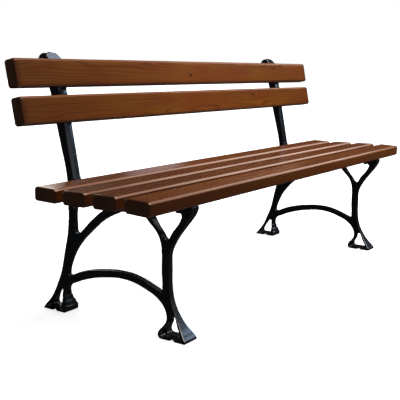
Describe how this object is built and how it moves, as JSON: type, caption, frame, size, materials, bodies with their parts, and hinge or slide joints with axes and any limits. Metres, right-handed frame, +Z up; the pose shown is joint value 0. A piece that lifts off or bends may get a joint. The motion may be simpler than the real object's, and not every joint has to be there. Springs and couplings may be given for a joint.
{
  "type": "garden bench",
  "caption": "Slatted wooden garden bench with a leaning backrest, on black cast iron side frames that curve into flared feet; it has no armrests.",
  "frame": {"origin": "centre of the bench's footprint, on the ground, at the bottom of the feet", "axes": "+X along the bench towards the sitter's left, -Y is the front where the sitter faces, +Z up"},
  "size_m": [1.8, 0.5819, 0.8163],
  "materials": {
    "black_paint": "gloss black paint over cast iron",
    "varnished_wood": "brown stain under satin varnish",
    "zinc_plate": "zinc plated steel, dull"
  },
  "bodies": {
    "root": {"side_frame_left": "black_paint", "side_frame_right": "black_paint", "seat_slat_1": "varnished_wood", "seat_slat_2": "varnished_wood", "seat_slat_3": "varnished_wood", "seat_slat_4": "varnished_wood", "back_slat_lower": "varnished_wood", "back_slat_upper": "varnished_wood", "seat_1_screw_left": "zinc_plate", "seat_1_washer_left": "zinc_plate", "seat_1_screw_right": "zinc_plate", "seat_1_washer_right": "zinc_plate", "seat_2_screw_left": "zinc_plate", "seat_2_washer_left": "zinc_plate", "seat_2_screw_right": "zinc_plate", "seat_2_washer_right": "zinc_plate", "seat_3_screw_left": "zinc_plate", "seat_3_washer_left": "zinc_plate", "seat_3_screw_right": "zinc_plate", "seat_3_washer_right": "zinc_plate", "seat_4_screw_left": "zinc_plate", "seat_4_washer_left": "zinc_plate", "seat_4_screw_right": "zinc_plate", "seat_4_washer_right": "zinc_plate", "back_lower_screw_left": "zinc_plate", "back_lower_washer_left": "zinc_plate", "back_lower_screw_right": "zinc_plate", "back_lower_washer_right": "zinc_plate", "back_upper_screw_left": "zinc_plate", "back_upper_washer_left": "zinc_plate", "back_upper_screw_right": "zinc_plate", "back_upper_washer_right": "zinc_plate"}
  },
  "joints": []
}
